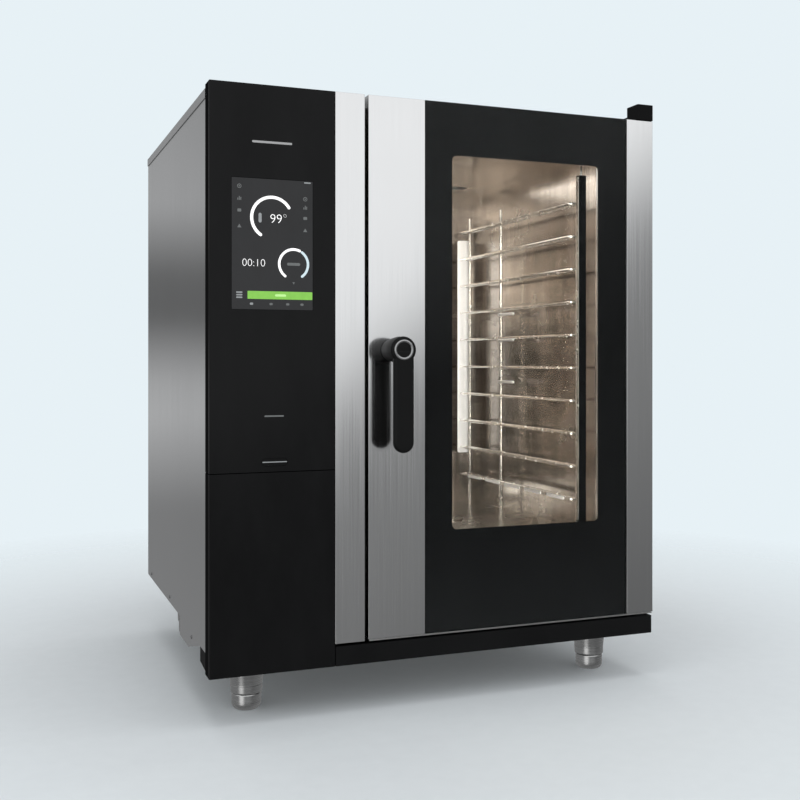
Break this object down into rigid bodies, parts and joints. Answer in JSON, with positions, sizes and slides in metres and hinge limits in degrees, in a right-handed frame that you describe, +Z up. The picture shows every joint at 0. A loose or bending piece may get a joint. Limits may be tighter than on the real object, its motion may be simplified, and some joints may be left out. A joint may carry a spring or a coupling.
{
  "type": "combi steamer oven",
  "caption": "Combi steamer oven with a glazed side-hinged door, touch control column, tray racks and adjustable feet.",
  "frame": {"origin": "centre of the bounding box's bottom face, on the floor under the four feet", "axes": "+Z up; the door and the display face -Y; +X to the right as the user sees it, where the door hinge is"},
  "size_m": [0.898, 0.817, 1.149],
  "materials": {
    "steel": "brushed",
    "polished_steel": "polished",
    "galvanised": "dull zinc",
    "black_glass": "gloss, opaque print behind glass",
    "clear_glass": "clear",
    "black_plastic": "fine satin",
    "gasket": "matt silicone",
    "mineral_wool": "matt fibre",
    "screen": "gloss",
    "aluminium": "cast",
    "brass": "machined",
    "chrome": "mirror"
  },
  "bodies": {
    "casing": {"base_pan": "steel", "side_panel_left": "steel", "side_panel_right": "steel", "roof_panel": "steel", "front_pillar": "steel", "latch_keeper": "steel", "heating_element": "steel", "cavity_liner": "polished_steel", "air_baffle": "polished_steel", "steam_generator": "polished_steel", "steam_pipe": "polished_steel", "condenser_box": "polished_steel", "exhaust_pipe": "polished_steel", "air_inlet_pipe": "polished_steel", "rear_panel": "galvanised", "column_front_plate": "galvanised", "control_box": "galvanised", "fascia_glass": "black_glass", "base_gutter": "black_plastic", "hinge_bracket_top": "black_plastic", "hinge_bracket_bottom": "black_plastic", "fascia_bezel": "black_plastic", "cooling_fan_housing": "black_plastic", "cable_gland": "black_plastic", "damper_motor": "black_plastic", "door_gasket": "gasket", "insulation_jacket": "mineral_wool", "air_filter": "mineral_wool", "display_screen": "screen", "fan_motor": "aluminium", "water_valve": "brass"},
    "service_flap": {"flap_glass": "black_glass", "flap_pan": "black_plastic"},
    "flap_button": {"flap_latch": "black_plastic"},
    "main_fan": {"fan_wheel": "polished_steel", "fan_shaft": "steel"},
    "cooling_rotor": {"cooling_fan_rotor": "black_plastic"},
    "inlet_damper": {"damper": "steel"},
    "baffle_lock_upper": {"baffle_lock_upper": "steel"},
    "baffle_lock_lower": {"baffle_lock_lower": "steel"},
    "left_rack": {"rack_left": "steel"},
    "right_rack": {"rack_right": "steel"},
    "strainer": {"drain_strainer": "polished_steel"},
    "door": {"door_frame": "steel", "door_strip_left": "steel", "door_strip_right": "steel", "door_outer_glass": "clear_glass", "door_glass_mask": "black_glass", "door_inner_glass": "clear_glass", "led_bar": "black_plastic"},
    "glass_catch_upper": {"glass_catch_upper": "steel"},
    "glass_catch_lower": {"glass_catch_lower": "steel"},
    "handle": {"handle_lever": "black_plastic", "handle_ring": "chrome", "latch_hook": "steel"},
    "foot_front_left": {"foot_front_left": "steel"},
    "foot_front_right": {"foot_front_right": "steel"},
    "foot_rear_left": {"foot_rear_left": "steel"},
    "foot_rear_right": {"foot_rear_right": "steel"}
  },
  "joints": [
    {"name": "door_hinge", "type": "hinge", "parent": "casing", "child": "door", "pos_m": [0.424, -0.322, 0.62], "axis": [0, 0, 1], "range_deg": [0, 180]},
    {"name": "handle_turn", "type": "hinge", "parent": "door", "child": "handle", "pos_m": [-0.115, -0.342, 0.6535], "axis": [0, 1, 0], "range_deg": [-60, 60]},
    {"name": "catch_upper_turn", "type": "hinge", "parent": "door", "child": "glass_catch_upper", "pos_m": [-0.055, -0.274, 0.98], "axis": [0, 1, 0], "range_deg": [0, 90]},
    {"name": "catch_lower_turn", "type": "hinge", "parent": "door", "child": "glass_catch_lower", "pos_m": [-0.055, -0.274, 0.36], "axis": [0, 1, 0], "range_deg": [0, 90]},
    {"name": "flap_hinge", "type": "hinge", "parent": "casing", "child": "service_flap", "pos_m": [-0.335, -0.312, 0.091], "axis": [1, 0, 0], "range_deg": [0, 75]},
    {"name": "flap_button_press", "type": "slide", "parent": "casing", "child": "flap_button", "axis": [0, 1, 0], "range_m": [0, 0.003], "stiffness_N_per_m": 800},
    {"name": "main_fan_spin", "type": "hinge", "parent": "casing", "child": "main_fan", "pos_m": [-0.1, 0.04, 0.671], "axis": [1, 0, 0], "continuous": true},
    {"name": "cooling_fan_spin", "type": "hinge", "parent": "casing", "child": "cooling_rotor", "pos_m": [-0.31, 0.367, 0.86], "axis": [0, 1, 0], "continuous": true},
    {"name": "damper_turn", "type": "hinge", "parent": "casing", "child": "inlet_damper", "pos_m": [-0.087, 0.29, 1.125], "axis": [1, 0, 0], "range_deg": [0, 90]},
    {"name": "baffle_lock_upper_turn", "type": "hinge", "parent": "casing", "child": "baffle_lock_upper", "pos_m": [-0.027, -0.241, 0.96], "axis": [1, 0, 0], "range_deg": [0, 90]},
    {"name": "baffle_lock_lower_turn", "type": "hinge", "parent": "casing", "child": "baffle_lock_lower", "pos_m": [-0.027, -0.241, 0.4], "axis": [1, 0, 0], "range_deg": [0, 90]},
    {"name": "left_rack_lift", "type": "slide", "parent": "casing", "child": "left_rack", "axis": [0, 0, 1], "range_m": [0, 0.02]},
    {"name": "right_rack_lift", "type": "slide", "parent": "casing", "child": "right_rack", "axis": [0, 0, 1], "range_m": [0, 0.02]},
    {"name": "strainer_lift", "type": "slide", "parent": "casing", "child": "strainer", "axis": [0, 0, 1], "range_m": [0, 0.03]},
    {"name": "foot_front_left_screw", "type": "slide", "parent": "casing", "child": "foot_front_left", "axis": [0, 0, -1], "range_m": [0, 0.03]},
    {"name": "foot_front_right_screw", "type": "slide", "parent": "casing", "child": "foot_front_right", "axis": [0, 0, -1], "range_m": [0, 0.03]},
    {"name": "foot_rear_left_screw", "type": "slide", "parent": "casing", "child": "foot_rear_left", "axis": [0, 0, -1], "range_m": [0, 0.03]},
    {"name": "foot_rear_right_screw", "type": "slide", "parent": "casing", "child": "foot_rear_right", "axis": [0, 0, -1], "range_m": [0, 0.03]}
  ]
}
